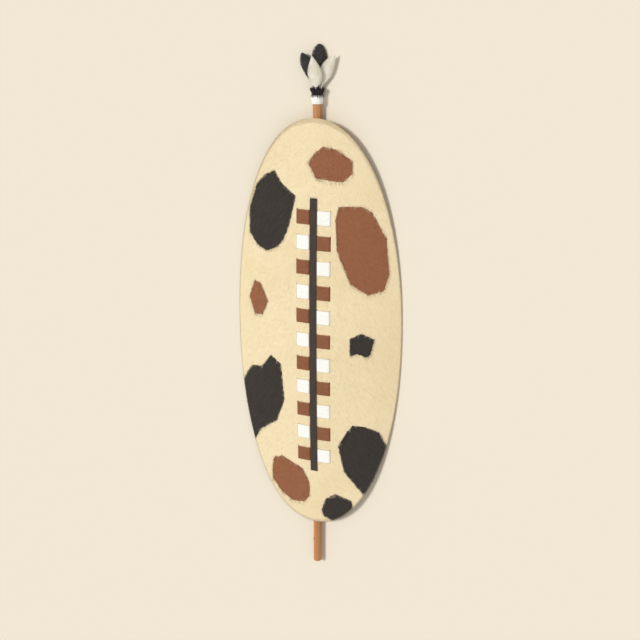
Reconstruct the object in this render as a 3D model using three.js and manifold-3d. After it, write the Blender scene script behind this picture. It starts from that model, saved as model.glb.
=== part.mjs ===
// A long hide shield, lying on its back.
//
// A pied cowhide, cut to a pointed oval and dried with a slight belly, is laced to a straight stick that runs
// down its back from foot to head. Eleven rows of short hide laces come through slits on each side of a narrow
// centre strip: brown and white, changing places from row to row. In the rows near the two ends the laces go
// round the stick and carry it. In the three middle rows they are only tucked behind the hide, which leaves
// room for a hand. The head of the stick carries a plume of four feathers, held by a white binding.
//
// Units are millimetres. +Y runs along the stick towards the plume, +X across the shield, +Z up, out of its face.
// The origin is under the middle of the whole length, on the surface that the shield lies on.
import * as THREE from "three";
import Module from "manifold-3d";
import { mergeVertices } from "three/addons/utils/BufferGeometryUtils.js";

const wasm = await Module();
wasm.setup();

// ---- Driving dimensions -------------------------------------------------------------------------------------
const LENGTH = 1530; // from the foot of the stick to the tip of the tallest feather
const HIDE_LENGTH = 1200;
const HIDE_WIDTH = 490;
const HIDE_THICKNESS = 5; // dried skin with its short coat
const OVAL_POWER = 2.12; // 2 is an ellipse; a little more makes fuller shoulders
const FOOT_BELOW_HIDE = 140; // bare stick below the hide
const STICK_RADIUS = 12;
const LACE_THICKNESS = 3;
const GAP = 0.4; // between pieces that touch
const HAND_ROOM = 18; // between the stick and the hide, at the middle

const ROWS = 11;
const ROW_PITCH = 71;
const MIDDLE_ROW = (ROWS + 1) / 2;
const ROWS_BELOW_CENTRE = 24; // how far the middle row lies below the middle of the hide
const TAB_HEIGHT = 41; // a lace's width, along the stick
const TAB_OUTER = 50; // from the centre line to a tab's outer edge
const FREE_ROWS = 1; // rows on each side of the middle one that don't go round the stick
const STRIP_WIDTH = 20;
const STRIP_THICKNESS = 4;
const STRIP_LENGTH = 815;

const BINDING_ABOVE_HIDE = 36; // bare stick between the hide and the binding
const BINDING_LENGTH = 24;
const FEATHER_DROP = 24; // how much shorter the three outer feathers stand than the tallest

// ---- Derived levels -----------------------------------------------------------------------------------------
const FOOT_Y = -LENGTH / 2;
const HIDE_Y = FOOT_Y + FOOT_BELOW_HIDE + HIDE_LENGTH / 2; // the middle of the hide
const HALF_WIDTH = HIDE_WIDTH / 2;
const HALF_LENGTH = HIDE_LENGTH / 2;
const STICK_Z = LACE_THICKNESS + GAP + STICK_RADIUS; // the laces under the stick lie on the ground
const STICK_TOP = STICK_Z + STICK_RADIUS;
const CROWN = STICK_TOP + HAND_ROOM + HIDE_THICKNESS; // the highest point of the hide's face
const RIM_ROUND = 1.5; // how far the rim's rounding reaches in from the edge
const SIDE_FALL = (CROWN - HIDE_THICKNESS) / (1 - RIM_ROUND / HALF_WIDTH) ** 2; // the widest points touch the ground
const END_FALL = CROWN - HIDE_THICKNESS - STICK_TOP - 1; // the two ends all but rest on the stick
const BINDING_Y = HIDE_Y + HALF_LENGTH + BINDING_ABOVE_HIDE;
const BINDING_TOP = BINDING_Y + BINDING_LENGTH;

// ---- The belly of the hide ----------------------------------------------------------------------------------
const faceZ = (x, y) =>
  CROWN - SIDE_FALL * (x / HALF_WIDTH) ** 2 - END_FALL * ((y - HIDE_Y) / HALF_LENGTH) ** 2;
const backZ = (x, y) => faceZ(x, y) - HIDE_THICKNESS;

// ---- Mesh helpers -------------------------------------------------------------------------------------------
// A closed body from points [x, y, z] and triangles [a, b, c]; turned inside out if its faces point inwards.
function closedBody(points, triangles) {
  let volume = 0;
  const corner = points.map((p) => new THREE.Vector3(...p));
  for (const [a, b, c] of triangles) {
    volume += corner[a].dot(new THREE.Vector3().crossVectors(corner[b], corner[c]));
  }
  const facing = volume > 0 ? triangles : triangles.map(([a, b, c]) => [a, c, b]);
  const geometry = new THREE.BufferGeometry();
  geometry.setAttribute("position", new THREE.Float32BufferAttribute(points.flat(), 3));
  geometry.setIndex(facing.flat());
  return geometry;
}

// The band of triangles between two closed rings of n points each, the first starting at index a, the next at b.
function bandBetween(a, b, n) {
  const band = [];
  for (let i = 0; i < n; i++) {
    const j = (i + 1) % n;
    band.push([a + i, a + j, b + j], [a + i, b + j, b + i]);
  }
  return band;
}

// A body lofted through rings of equal length, closed at both ends by a fan.
function loftedBody(rings) {
  const n = rings[0].length;
  const triangles = [];
  for (let r = 0; r + 1 < rings.length; r++) triangles.push(...bandBetween(r * n, (r + 1) * n, n));
  const last = (rings.length - 1) * n;
  for (let i = 1; i + 1 < n; i++) {
    triangles.push([0, i + 1, i], [last, last + i, last + i + 1]);
  }
  return closedBody(rings.flat(), triangles);
}

// A strip of even thickness that follows a bent line. Each station is one copy of the line, as [across, up]
// pairs, and place() puts a pair of that station into the shield's frame.
function bentStrip(stations, thickness, place) {
  const rings = stations.map((line, s) => {
    const sides = [1, -1].map((side) =>
      line.map((point, i) => {
        const before = line[Math.max(i - 1, 0)];
        const after = line[Math.min(i + 1, line.length - 1)];
        const inward = new THREE.Vector2(point[0] - before[0], point[1] - before[1]).normalize();
        const onward = new THREE.Vector2(after[0] - point[0], after[1] - point[1]).normalize();
        if (i === 0) inward.copy(onward);
        if (i === line.length - 1) onward.copy(inward);
        const along = inward.clone().add(onward).normalize();
        const half = (side * thickness) / 2 / Math.max(along.dot(onward), 0.5);
        return place([point[0] - along.y * half, point[1] + along.x * half], s);
      }),
    );
    return [...sides[0], ...sides[1].reverse()];
  });
  const n = rings[0].length;
  const triangles = [];
  for (let r = 0; r + 1 < rings.length; r++) triangles.push(...bandBetween(r * n, (r + 1) * n, n));
  const last = (rings.length - 1) * n;
  for (let i = 0; i + 1 < n / 2; i++) {
    const [a, b, c, d] = [i, i + 1, n - 2 - i, n - 1 - i];
    triangles.push([a, c, b], [a, d, c], [last + a, last + b, last + c], [last + a, last + c, last + d]);
  }
  return closedBody(rings.flat(), triangles);
}

// The same line with each inner corner replaced by a short arc of three points.
function softCorners(line, reach) {
  const soft = [line[0]];
  for (let i = 1; i + 1 < line.length; i++) {
    const corner = new THREE.Vector2(...line[i]);
    const back = new THREE.Vector2(...line[i - 1]).sub(corner);
    const on = new THREE.Vector2(...line[i + 1]).sub(corner);
    const start = corner.clone().add(back.setLength(Math.min(reach, back.length() / 2)));
    const end = corner.clone().add(on.setLength(Math.min(reach, on.length() / 2)));
    const middle = start.clone().add(end).multiplyScalar(0.25).add(corner.clone().multiplyScalar(0.5));
    soft.push(start.toArray(), middle.toArray(), end.toArray());
  }
  soft.push(line[line.length - 1]);
  return soft;
}

// Boolean work: a geometry as a solid, and a solid as a geometry.
function toSolid(geometry) {
  const bare = geometry.clone();
  bare.deleteAttribute("normal");
  bare.deleteAttribute("uv");
  const merged = mergeVertices(bare, 1e-3);
  return new wasm.Manifold(
    new wasm.Mesh({
      numProp: 3,
      vertProperties: merged.attributes.position.array,
      triVerts: new Uint32Array(merged.index.array),
    }),
  );
}

function toGeometry(solid) {
  const mesh = solid.getMesh();
  const geometry = new THREE.BufferGeometry();
  geometry.setAttribute("position", new THREE.BufferAttribute(Float32Array.from(mesh.vertProperties), 3));
  geometry.setIndex([...mesh.triVerts]);
  return geometry;
}

// ---- Finishes -----------------------------------------------------------------------------------------------
const finish = (color, roughness) => new THREE.MeshStandardMaterial({ color, roughness, metalness: 0 });
const finishes = {
  creamHide: finish(0xf2deb5, 0.85),
  brownHide: finish(0x8f5c40, 0.85),
  whiteHide: finish(0xfbf9f0, 0.85),
  blackHide: finish(0x3a342e, 0.8),
  wood: finish(0xb07c4c, 0.6),
  blackFeather: finish(0x2f2a28, 0.7),
  whiteFeather: finish(0xe2dbc8, 0.75),
};

const shield = new THREE.Group();
function addPiece(name, geometry, material) {
  const mesh = new THREE.Mesh(geometry, material);
  mesh.name = name;
  shield.add(mesh);
  return mesh;
}

// ---- Rows of laces ------------------------------------------------------------------------------------------
const rows = [];
for (let number = 1; number <= ROWS; number++) {
  rows.push({
    number,
    y: HIDE_Y - ROWS_BELOW_CENTRE + (MIDDLE_ROW - number) * ROW_PITCH,
    roundTheStick: Math.abs(number - MIDDLE_ROW) > FREE_ROWS,
  });
}
const SLIT_PLAY = 0.5; // free space round a lace in its slit
const INNER_LEG = STRIP_WIDTH / 2 + GAP + LACE_THICKNESS / 2; // centre of the lace where it dives by the strip
const OUTER_LEG = TAB_OUTER - LACE_THICKNESS / 2; // and where it dives at the tab's outer edge
const OUTER_TAIL = 22; // length tucked flat behind the hide, beyond the outer slit
const INNER_TAIL = 15; // and beside the inner slit, in the free rows
const LACE_BEND = 2.2;
const SEAM = 0.8; // where the two laces of a row meet
const WRAP_STEPS = 6;

// The line of one lace across the shield at one y, from its outer tail to its inner end. Positive x side.
function laceLine(y, row) {
  const above = GAP + LACE_THICKNESS / 2;
  const onFace = (x) => [x, faceZ(x, y) + above];
  const onBack = (x) => [x, backZ(x, y) - above];
  const tab = [OUTER_LEG, (OUTER_LEG + INNER_LEG) / 2, INNER_LEG].map(onFace);
  const outerEnd = [onBack(OUTER_LEG + OUTER_TAIL), onBack(OUTER_LEG)];
  if (!row.roundTheStick) {
    return softCorners([...outerEnd, ...tab, onBack(INNER_LEG), onBack(INNER_LEG + INNER_TAIL)], LACE_BEND);
  }
  // Down through the inner slit, along the tangent to the stick, and half way round it.
  const radius = STICK_RADIUS + GAP + LACE_THICKNESS / 2;
  const drop = backZ(INNER_LEG, row.y) - STICK_Z;
  const distance = Math.hypot(INNER_LEG, drop);
  const first = Math.atan2(drop, INNER_LEG) - Math.acos(radius / distance);
  const last = -Math.PI / 2 + SEAM / 2 / radius;
  const wrap = [];
  for (let i = 0; i <= WRAP_STEPS; i++) {
    const angle = first + ((last - first) * i) / WRAP_STEPS;
    wrap.push([radius * Math.cos(angle), STICK_Z + radius * Math.sin(angle)]);
  }
  const bends = softCorners([...outerEnd, ...tab, [INNER_LEG, backZ(INNER_LEG, y)]], LACE_BEND);
  return [...bends, ...wrap];
}

function lace(row, side) {
  const ends = [row.y - TAB_HEIGHT / 2, row.y + TAB_HEIGHT / 2];
  return bentStrip(
    ends.map((y) => laceLine(y, row)),
    LACE_THICKNESS,
    ([across, up], s) => [side * across, ends[s], up],
  );
}

// ---- Hide ---------------------------------------------------------------------------------------------------
const RINGS = 7;
const SPOKES = 72;
function ovalPoint(share, angle) {
  const round = (v) => Math.sign(v) * Math.abs(v) ** (2 / OVAL_POWER);
  return [share * HALF_WIDTH * round(Math.cos(angle)), HIDE_Y + share * HALF_LENGTH * round(Math.sin(angle))];
}

function ovalShell() {
  const inset = 1 - RIM_ROUND / HALF_WIDTH;
  const levels = []; // from the middle of the face, over the rim, to the middle of the back
  for (let r = 1; r <= RINGS; r++) levels.push({ share: (inset * r) / RINGS, z: faceZ });
  levels.push({ share: 1, z: (x, y) => faceZ(x, y) - HIDE_THICKNESS * 0.3 });
  levels.push({ share: 1, z: (x, y) => faceZ(x, y) - HIDE_THICKNESS * 0.7 });
  for (let r = RINGS; r >= 1; r--) levels.push({ share: (inset * r) / RINGS, z: backZ });
  const points = [];
  for (const level of levels) {
    for (let i = 0; i < SPOKES; i++) {
      const [x, y] = ovalPoint(level.share, (2 * Math.PI * i) / SPOKES);
      points.push([x, y, level.z(x, y)]);
    }
  }
  const triangles = [];
  for (let l = 0; l + 1 < levels.length; l++) triangles.push(...bandBetween(l * SPOKES, (l + 1) * SPOKES, SPOKES));
  const face = points.push([0, HIDE_Y, faceZ(0, HIDE_Y)]) - 1;
  const back = points.push([0, HIDE_Y, backZ(0, HIDE_Y)]) - 1;
  const innermost = (levels.length - 1) * SPOKES;
  for (let i = 0; i < SPOKES; i++) {
    const j = (i + 1) % SPOKES;
    triangles.push([face, j, i], [back, innermost + i, innermost + j]);
  }
  return closedBody(points, triangles);
}

const slitBox = (width, length, x, y) => {
  const box = new THREE.BoxGeometry(width, length, 3 * HIDE_THICKNESS);
  return toSolid(box.translate(x, y, backZ(x, y) + HIDE_THICKNESS / 2));
};

const STRIP_END_Y = [-1, 1].map((end) => HIDE_Y - ROWS_BELOW_CENTRE + (end * STRIP_LENGTH) / 2);
function laceSlits() {
  const cuts = [];
  for (const row of rows) {
    for (const x of [-OUTER_LEG, -INNER_LEG, INNER_LEG, OUTER_LEG]) {
      cuts.push(slitBox(LACE_THICKNESS + 2 * SLIT_PLAY, TAB_HEIGHT + 2 * SLIT_PLAY, x, row.y));
    }
  }
  STRIP_END_Y.forEach((y, end) => {
    const inward = end === 0 ? 1 : -1;
    const leg = y + (inward * STRIP_THICKNESS) / 2;
    cuts.push(slitBox(STRIP_WIDTH + 2 * SLIT_PLAY, STRIP_THICKNESS + 2 * SLIT_PLAY, 0, leg));
  });
  return cuts;
}
const hide = laceSlits().reduce((body, cut) => body.subtract(cut), toSolid(ovalShell()));
addPiece("hide", toGeometry(hide), finishes.creamHide);

// ---- Stick --------------------------------------------------------------------------------------------------
const STICK_SIDES = 20;
const NECK_RADIUS = 8; // whittled down inside the binding, to make room for the quills
const FOOT_BEVEL = 2;
function turned(profile, sides) {
  const points = profile.map(([r, y]) => new THREE.Vector2(r, y));
  return new THREE.LatheGeometry(points, sides).translate(0, 0, STICK_Z);
}
addPiece(
  "stick",
  turned(
    [
      [0, FOOT_Y],
      [STICK_RADIUS - FOOT_BEVEL, FOOT_Y],
      [STICK_RADIUS, FOOT_Y + FOOT_BEVEL],
      [STICK_RADIUS, BINDING_Y],
      [NECK_RADIUS, BINDING_Y + 1],
      [NECK_RADIUS, BINDING_TOP - 3],
      [0, BINDING_TOP - 3],
    ],
    STICK_SIDES,
  ),
  finishes.wood,
);

// ---- Centre strip -------------------------------------------------------------------------------------------
const STRIP_TAIL = 26;
function centreStrip() {
  const above = GAP + STRIP_THICKNESS / 2;
  const [lowEnd, highEnd] = STRIP_END_Y;
  const lowLeg = lowEnd + STRIP_THICKNESS / 2;
  const highLeg = highEnd - STRIP_THICKNESS / 2;
  const faceSteps = 10;
  const line = [
    [lowLeg - STRIP_TAIL, backZ(0, lowLeg - STRIP_TAIL) - above],
    [lowLeg, backZ(0, lowLeg) - above],
  ];
  for (let i = 0; i <= faceSteps; i++) {
    const y = lowLeg + ((highLeg - lowLeg) * i) / faceSteps;
    line.push([y, faceZ(0, y) + above]);
  }
  line.push([highLeg, backZ(0, highLeg) - above]);
  line.push([highLeg + STRIP_TAIL, backZ(0, highLeg + STRIP_TAIL) - above]);
  const soft = softCorners(line, STRIP_THICKNESS * 0.7);
  const edges = [-STRIP_WIDTH / 2, STRIP_WIDTH / 2];
  return bentStrip([soft, soft], STRIP_THICKNESS, ([along, up], s) => [edges[s], along, up]);
}
addPiece("centre_strip", centreStrip(), finishes.blackHide);

// ---- Laces --------------------------------------------------------------------------------------------------
for (const row of rows) {
  for (const [side, word] of [[-1, "left"], [1, "right"]]) {
    const brown = (row.number % 2 === 1) === (side === -1);
    const name = `lace_${word}_${String(row.number).padStart(2, "0")}`;
    addPiece(name, lace(row, side), brown ? finishes.brownHide : finishes.whiteHide);
  }
}

// ---- Binding ------------------------------------------------------------------------------------------------
const BINDING_RADIUS = STICK_Z; // it lies on the ground, as the laces do
const BINDING_BORE = STICK_RADIUS + GAP;
const BINDING_TURNS = 4;
function bindingProfile() {
  const profile = [[BINDING_BORE, BINDING_Y + GAP]];
  for (let turn = 0; turn < BINDING_TURNS; turn++) {
    const low = BINDING_Y + GAP + ((BINDING_LENGTH - GAP) * turn) / BINDING_TURNS;
    const high = BINDING_Y + GAP + ((BINDING_LENGTH - GAP) * (turn + 1)) / BINDING_TURNS;
    profile.push([BINDING_RADIUS - 1, low], [BINDING_RADIUS, low + 1], [BINDING_RADIUS, high - 1]);
  }
  profile.push([BINDING_RADIUS - 1, BINDING_TOP], [BINDING_BORE, BINDING_TOP], profile[0]);
  return profile;
}
addPiece("binding", turned(bindingProfile(), STICK_SIDES), finishes.whiteHide);

// ---- Plume --------------------------------------------------------------------------------------------------
// A feather is a bare quill in the binding, then a vane that widens and closes again at its tip. Its spine
// starts parallel to the stick and bends outwards to the tip.
const QUILL_RADIUS = 1.6;
const QUILL_RING = NECK_RADIUS + GAP + QUILL_RADIUS; // the quills stand round the stick's neck
const QUILL_Y = BINDING_Y + 4;
const VANE_START = 0.22; // share of the spine that stays bare above the binding
const VANE_SECTIONS = 10;

function feather({ rootAngle, tip, face, halfWidth, widest, fullness, bluntness }) {
  const rootZ = STICK_Z + QUILL_RING * Math.sin(rootAngle);
  const root = new THREE.Vector3(QUILL_RING * Math.cos(rootAngle), QUILL_Y, rootZ);
  const mouth = root.clone().setY(BINDING_TOP);
  const end = new THREE.Vector3(...tip);
  const bend = mouth.clone().setY(mouth.y + (end.y - mouth.y) * 0.42);
  const spine = new THREE.QuadraticBezierCurve3(mouth, bend, end);
  const facing = new THREE.Vector3(...face).normalize();

  const section = (at, along, half, thick) => {
    const across = new THREE.Vector3().crossVectors(along, facing).normalize();
    const up = new THREE.Vector3().crossVectors(across, along).normalize();
    const edge = Math.min(0.5, thick / 2);
    const corners = [[half, edge], [0, thick], [-half, edge], [-half, -edge], [0, -thick], [half, -edge]];
    return corners.map(([a, u]) => at.clone().addScaledVector(across, a).addScaledVector(up, u).toArray());
  };

  const bare = QUILL_RADIUS * 0.8;
  const halfAt = (u) => {
    if (u <= VANE_START) return bare;
    const rise = Math.sin(((Math.PI / 2) * (u - VANE_START)) / (widest - VANE_START)) ** fullness;
    const fall = Math.cos(((Math.PI / 2) * (u - widest)) / (1.01 - widest)) ** bluntness;
    return bare + (halfWidth - bare) * (u < widest ? rise : fall);
  };

  const straight = new THREE.Vector3(0, 1, 0);
  const rings = [section(root, straight, bare, QUILL_RADIUS), section(mouth, straight, bare, QUILL_RADIUS)];
  for (let i = 0; i <= VANE_SECTIONS; i++) {
    const u = VANE_START + ((1 - VANE_START) * i) / VANE_SECTIONS;
    rings.push(section(spine.getPoint(u), spine.getTangent(u), halfAt(u), QUILL_RADIUS * (1 - 0.65 * u)));
  }
  return loftedBody(rings);
}

const TIP_CORNER = 0.3; // a blunt tip leans, so one corner of it stands this far past its middle
const TIP_Y = LENGTH / 2 - TIP_CORNER;
const plume = [
  {
    name: "feather_black_tall",
    colour: finishes.blackFeather,
    rootAngle: -Math.PI / 2,
    tip: [4, TIP_Y, 9],
    face: [0.1, 0, 1],
    halfWidth: 22.5,
    widest: 0.78,
    fullness: 1.1,
    bluntness: 0.4,
  },
  {
    name: "feather_black_left",
    colour: finishes.blackFeather,
    rootAngle: Math.PI,
    tip: [-43, TIP_Y - FEATHER_DROP, 17],
    face: [0, 0, 1],
    halfWidth: 19,
    widest: 0.78,
    fullness: 1,
    bluntness: 0.45,
  },
  {
    name: "feather_white_right",
    colour: finishes.whiteFeather,
    rootAngle: 0,
    tip: [49, TIP_Y - FEATHER_DROP, 18],
    face: [0.3, 0, 1],
    halfWidth: 19,
    widest: 0.62,
    fullness: 0.9,
    bluntness: 0.6,
  },
  {
    name: "feather_white_front",
    colour: finishes.whiteFeather,
    rootAngle: Math.PI / 2,
    tip: [-4, TIP_Y - FEATHER_DROP, 46],
    face: [0.1, 0, 1],
    halfWidth: 20.5,
    widest: 0.54,
    fullness: 0.5,
    bluntness: 0.95,
  },
];
for (const { name, colour, ...shape } of plume) addPiece(name, feather(shape), colour);

// Short black feathers stand in a cup round the foot of the plume. The ground flattens the cup below.
const CUP_HEIGHT = 23;
const CUP_FLARE = 5.5;
const CUP_WALL = 1.6;
const CUP_POINTS = 9;
const CUP_NOTCH = 0.25; // share of the height that the notches between the points cut away
const CUP_SIDES = 3 * CUP_POINTS;
function plumeTuft() {
  const wall = (angle, share, inside) => {
    const towardsPoint = Math.abs((((angle * CUP_POINTS) / (2 * Math.PI)) % 1) - 0.5) * 2;
    const height = CUP_HEIGHT * share * (1 - CUP_NOTCH * (1 - towardsPoint));
    const radius = BINDING_RADIUS - GAP + CUP_FLARE * share - (inside ? CUP_WALL : 0);
    const lowest = GAP + (inside ? CUP_WALL : 0);
    const z = Math.max(STICK_Z + radius * Math.sin(angle), lowest);
    return [radius * Math.cos(angle), BINDING_TOP + GAP + height, z];
  };
  const levels = [[0, false], [0.5, false], [1, false], [1, true], [0.5, true], [0, true]];
  const points = [];
  for (const [share, inside] of levels) {
    for (let i = 0; i < CUP_SIDES; i++) points.push(wall((2 * Math.PI * i) / CUP_SIDES, share, inside));
  }
  const triangles = [];
  levels.forEach((_, level) => {
    const next = (level + 1) % levels.length;
    triangles.push(...bandBetween(level * CUP_SIDES, next * CUP_SIDES, CUP_SIDES));
  });
  return closedBody(points, triangles);
}
addPiece("plume_tuft", plumeTuft(), finishes.blackFeather);

export default shield;
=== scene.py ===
# %% [markdown]
# # A long hide shield
#
# A shield of this kind is one piece of cowhide with its hair left on. It is cut to a long oval, dried so
# that it bellies a little, and laced to a straight stick. Rows of short brown and white laces pass
# through slits on each side of a black centre strip, and a plume of feathers tops the stick. Here the
# shield lies on its back, face up.
#
# The shapes that carry each other come ready-made from the frame. This file dresses them: each real piece
# gets a finer mesh in the same place, and a material that is worked out by nodes.

import math

import bmesh
import bpy
import numpy as np
from mathutils import Matrix, Vector


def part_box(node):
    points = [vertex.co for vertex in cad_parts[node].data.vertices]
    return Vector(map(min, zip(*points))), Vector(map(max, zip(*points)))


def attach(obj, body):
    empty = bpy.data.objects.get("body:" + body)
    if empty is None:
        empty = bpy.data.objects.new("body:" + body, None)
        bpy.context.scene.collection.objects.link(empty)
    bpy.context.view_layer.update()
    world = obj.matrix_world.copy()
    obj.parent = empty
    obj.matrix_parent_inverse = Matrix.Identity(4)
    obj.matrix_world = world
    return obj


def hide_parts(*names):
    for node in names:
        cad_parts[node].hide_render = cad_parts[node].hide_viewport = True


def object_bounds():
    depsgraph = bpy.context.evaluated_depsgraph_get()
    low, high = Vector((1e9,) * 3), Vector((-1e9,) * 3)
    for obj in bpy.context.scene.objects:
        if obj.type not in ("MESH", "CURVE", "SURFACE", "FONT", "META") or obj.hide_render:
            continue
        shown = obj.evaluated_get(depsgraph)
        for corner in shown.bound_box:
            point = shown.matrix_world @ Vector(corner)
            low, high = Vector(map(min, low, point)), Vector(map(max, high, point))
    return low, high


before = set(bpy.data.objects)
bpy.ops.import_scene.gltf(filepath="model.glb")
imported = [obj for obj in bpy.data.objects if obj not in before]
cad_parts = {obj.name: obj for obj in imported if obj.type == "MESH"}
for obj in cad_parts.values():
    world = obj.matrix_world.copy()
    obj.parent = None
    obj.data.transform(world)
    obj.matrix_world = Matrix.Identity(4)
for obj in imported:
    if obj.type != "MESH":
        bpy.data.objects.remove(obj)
cad_low, cad_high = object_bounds()
print("the frame's box, in metres:", [round(v, 4) for v in (*cad_low, *cad_high)])

# %% [markdown]
# ## Sizes
#
# One millimetre is a convenient unit for a maker and one metre is Blender's, so lengths are written as a
# number times `MM`. The hide's place and reach are read from the frame. Its belly is the same formula
# that the frame's solid has: the height falls with the square of the distance from the middle.

# %% Sizes that the pieces share
MM = 0.001

hide_low, hide_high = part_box("hide")
stick_low, stick_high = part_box("stick")
binding_low, binding_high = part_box("binding")

HIDE_Y = (hide_low.y + hide_high.y) / 2
HALF_WIDTH = (hide_high.x - hide_low.x) / 2
HALF_LENGTH = (hide_high.y - hide_low.y) / 2
CROWN = hide_high.z  # the highest point of the face
HIDE_THICKNESS = 5 * MM
RIM_ROUND = 1.5 * MM
OVAL_POWER = 2.12  # 2 is an ellipse; a little more makes fuller shoulders

STICK_RADIUS = (stick_high.x - stick_low.x) / 2
STICK_Z = stick_high.z - STICK_RADIUS
SIDE_FALL = (CROWN - HIDE_THICKNESS) / (1 - RIM_ROUND / HALF_WIDTH) ** 2
END_FALL = CROWN - HIDE_THICKNESS - stick_high.z - 1 * MM

GAP = 0.4 * MM  # between pieces that touch
LACE_THICKNESS = 3 * MM
TAB_OUTER = 50 * MM  # from the centre line to the outer edge of a lace's visible tab
STRIP_WIDTH = 20 * MM
STRIP_THICKNESS = 4 * MM
SLIT_PLAY = 0.5 * MM


def face_height(x, y):
    """The height of the hide's face, for numbers or for whole arrays."""
    return CROWN - SIDE_FALL * (x / HALF_WIDTH) ** 2 - END_FALL * ((y - HIDE_Y) / HALF_LENGTH) ** 2


print(f"hide {2 * HALF_WIDTH:.3f} by {2 * HALF_LENGTH:.3f} m, crown {CROWN:.4f} m")

# %% [markdown]
# ## Writing nodes as sums
#
# A node tree is easier to read as a formula than as a list of links. `Value` wraps one socket, and its
# operators add Math nodes, so `1 - mask * 0.5` builds two nodes and gives a new `Value`. Every other node
# comes from `Graph.node`, which sets the node's own settings first and then fills or links its sockets.
# The same two classes write shader trees and geometry trees.


# %% Sockets as numbers, and one method for every other node
class Value:
    def __init__(self, graph, socket):
        self.graph = graph
        self.socket = socket

    def math(self, operation, *others):
        inputs = dict(enumerate((self, *others)))
        return self.graph.node("ShaderNodeMath", {"operation": operation}, inputs)

    def __add__(self, other):
        return self.math("ADD", other)

    def __sub__(self, other):
        return self.math("SUBTRACT", other)

    def __mul__(self, other):
        return self.math("MULTIPLY", other)

    def __truediv__(self, other):
        return self.math("DIVIDE", other)

    def __rsub__(self, other):
        return (self * -1) + other

    def __pow__(self, other):
        return self.math("POWER", other)

    __radd__ = __add__
    __rmul__ = __mul__

    def ramp(self, start, stop):
        """0 at start, 1 at stop and smooth between them; start may be the larger."""
        settings = {"interpolation_type": "SMOOTHSTEP"}
        inputs = {"Value": self, "From Min": start, "From Max": stop}
        return self.graph.node("ShaderNodeMapRange", settings, inputs)


class Graph:
    def __init__(self, tree):
        self.tree = tree

    def node(self, kind, settings=None, inputs=None, output=0):
        """Adds a node and gives back one of its outputs, the first if none is named."""
        made = self.tree.nodes.new(kind)
        for name, value in (settings or {}).items():
            setattr(made, name, value)
        for key, value in (inputs or {}).items():
            if isinstance(value, Value):
                self.tree.links.new(value.socket, made.inputs[key])
            elif isinstance(value, (list, tuple)) and value and isinstance(value[0], Value):
                for each in value:
                    self.tree.links.new(each.socket, made.inputs[key])
            else:
                made.inputs[key].default_value = value
        return Value(self, made.outputs[output])

    def mix(self, factor, first, second):
        """Two colours, blended."""
        inputs = {0: factor, 6: first, 7: second}
        return self.node("ShaderNodeMix", {"data_type": "RGBA"}, inputs, output=2)

    def vector(self, x, y, z):
        return self.node("ShaderNodeCombineXYZ", None, {0: x, 1: y, 2: z})

    def noise(self, vector, scale, detail=3.0, roughness=0.5):
        """Noise about 0.5, in three dimensions."""
        inputs = {"Vector": vector, "Scale": scale, "Detail": detail, "Roughness": roughness}
        return self.node("ShaderNodeTexNoise", None, inputs)

    def attribute(self, name):
        return self.node("ShaderNodeAttribute", {"attribute_name": name}, None, output="Fac")

    def split(self, vector):
        """The three parts of a vector."""
        first = self.node("ShaderNodeSeparateXYZ", None, {0: vector})
        return [Value(self, socket) for socket in first.socket.node.outputs]

    def facing_curve(self, curve, normal):
        """The curve, with the way that its profile faces given."""
        inputs = {"Curve": curve, "Normal": normal}
        return self.node("GeometryNodeSetCurveNormal", {"mode": "FREE"}, inputs)

    def flat_profile(self, width, height, edge, corner_points):
        """A rectangle with rounded corners, to sweep along a curve."""
        inputs = {"Width": width, "Height": height}
        flat = self.node("GeometryNodeCurvePrimitiveQuadrilateral", None, inputs)
        inputs = {"Curve": flat, "Count": corner_points, "Radius": edge, "Limit Radius": True}
        return self.node("GeometryNodeFilletCurve", {"mode": "POLY"}, inputs)


print("node helpers ready")

# %% [markdown]
# ## Colour and materials
#
# Colours are given as they look on a screen and turned into the linear light values that a shader works
# with. `new_material` starts every finish in the same way: a Principled shader, with the constants
# straight on its sockets, and a graph in which the varying parts are written.


# %% Colours and the start of a material
def colour(red, green, blue):
    """A screen colour, 0 to 255, as linear light with alpha."""
    linear = []
    for channel in (red, green, blue):
        c = channel / 255
        linear.append(c / 12.92 if c <= 0.04045 else ((c + 0.055) / 1.055) ** 2.4)
    return (*linear, 1.0)


def new_material(name, **constants):
    """A material, its graph, its shader and the object coordinates split in three."""
    material = bpy.data.materials.new(name)
    material.use_nodes = True
    shader = material.node_tree.nodes["Principled BSDF"]
    for socket, value in constants.items():
        shader.inputs[socket.replace("_", " ")].default_value = value
    graph = Graph(material.node_tree)
    place = graph.node("ShaderNodeTexCoord", None, None, output="Object")
    return material, graph, shader, place, graph.split(place)


def finish_material(graph, shader, colour_value, roughness, height, depth):
    """Links what varies: the colour, the roughness, and a bump of the given depth in metres."""
    links = graph.tree.links
    links.new(colour_value.socket, shader.inputs["Base Color"])
    links.new(roughness.socket, shader.inputs["Roughness"])
    inputs = {"Height": height, "Distance": depth, "Strength": 1.0}
    bump = graph.node("ShaderNodeBump", None, inputs)
    links.new(bump.socket, shader.inputs["Normal"])


print("materials can be started and finished")

# %% [markdown]
# ## Building and applying geometry trees
#
# What repeats, or follows a path, is made by geometry nodes. `geometry_tree` makes a group with a
# geometry input and one named number for each size. `grown` puts it on an object as a modifier, fills
# those numbers in, and freezes the result into a plain mesh.


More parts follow.
